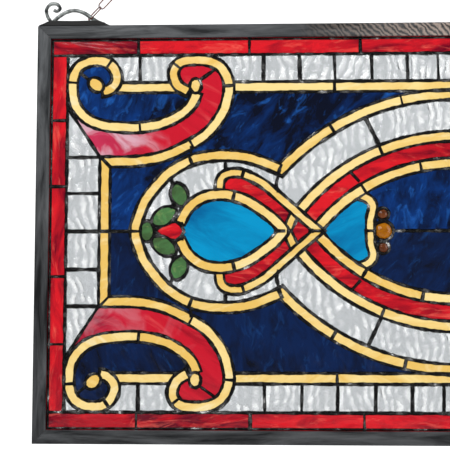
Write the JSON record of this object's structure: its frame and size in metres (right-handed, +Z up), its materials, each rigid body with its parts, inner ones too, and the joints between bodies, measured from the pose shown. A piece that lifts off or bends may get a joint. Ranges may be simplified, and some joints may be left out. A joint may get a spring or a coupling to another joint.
{
  "type": "stained glass window",
  "caption": "Wide hanging stained glass panel with scroll and ribbon ornament, soldered glass in a metal channel frame with scrolled brackets and short chains.",
  "frame": {"origin": "midway between the two hanging rings", "axes": "+Z up, front face towards -Y, +X along the panel to the viewer's right"},
  "size_m": [0.9144, 0.01, 0.506],
  "materials": {
    "frame_metal": "dark patina with paler streaks",
    "solder": "black patina on solder, satin",
    "ironwork": "satin",
    "bronze_wire": "antique bronze",
    "cream_glass": "opalescent streaky",
    "amber_glass": "clear faceted",
    "red_glass": "streaky",
    "ribbon_glass": "red and white streaky",
    "clear_glass": "rippled clear",
    "blue_glass": "wispy cobalt",
    "turquoise_glass": "cathedral"
  },
  "bodies": {
    "root": {"frame_left": "frame_metal", "frame_right": "frame_metal", "frame_top": "frame_metal", "frame_bottom": "frame_metal", "solderwork": "solder", "bracket_left": "ironwork", "bracket_right": "ironwork", "chain_left": "bronze_wire", "chain_right": "bronze_wire", "cream_border_band_upper": "cream_glass", "cream_border_band_lower": "cream_glass", "cream_outline_upper": "cream_glass", "cream_outline_lower": "cream_glass", "cream_middle_ring_upper": "cream_glass", "cream_middle_ring_lower": "cream_glass", "cream_knot_upper": "cream_glass", "cream_knot_lower": "cream_glass", "cream_oval_band_left": "cream_glass", "cream_oval_band_right": "cream_glass", "cream_scroll_upper_left": "cream_glass", "cream_scroll_upper_right": "cream_glass", "cream_scroll_lower_left": "cream_glass", "cream_scroll_lower_right": "cream_glass", "amber_jewel_left": "amber_glass", "amber_jewel_right": "amber_glass", "red_border": "red_glass", "red_ring_upper": "red_glass", "red_ring_lower": "red_glass", "red_almond_upper_left": "red_glass", "red_almond_upper_right": "red_glass", "red_almond_lower_left": "red_glass", "red_almond_lower_right": "red_glass", "red_ribbon_upper_left": "ribbon_glass", "red_ribbon_upper_right": "ribbon_glass", "red_ribbon_lower_left": "ribbon_glass", "red_ribbon_lower_right": "ribbon_glass", "clear_row_upper": "clear_glass", "clear_row_lower": "clear_glass", "clear_column_left": "clear_glass", "clear_column_right": "clear_glass", "clear_crescent_left": "clear_glass", "clear_crescent_right": "clear_glass", "clear_ring_upper": "clear_glass", "clear_ring_lower": "clear_glass", "blue_scroll_ground_upper_left": "blue_glass", "blue_scroll_ground_upper_right": "blue_glass", "blue_scroll_ground_lower_left": "blue_glass", "blue_scroll_ground_lower_right": "blue_glass", "blue_side_field_left": "blue_glass", "blue_side_field_right": "blue_glass", "blue_spandrel_upper_left": "blue_glass", "blue_spandrel_upper_right": "blue_glass", "blue_spandrel_lower_left": "blue_glass", "blue_spandrel_lower_right": "blue_glass", "blue_centre_field_upper": "blue_glass", "blue_centre_field_lower": "blue_glass", "turquoise_oval_left": "turquoise_glass", "turquoise_oval_right": "turquoise_glass", "turquoise_heart_left": "turquoise_glass", "turquoise_heart_right": "turquoise_glass"}
  },
  "joints": []
}
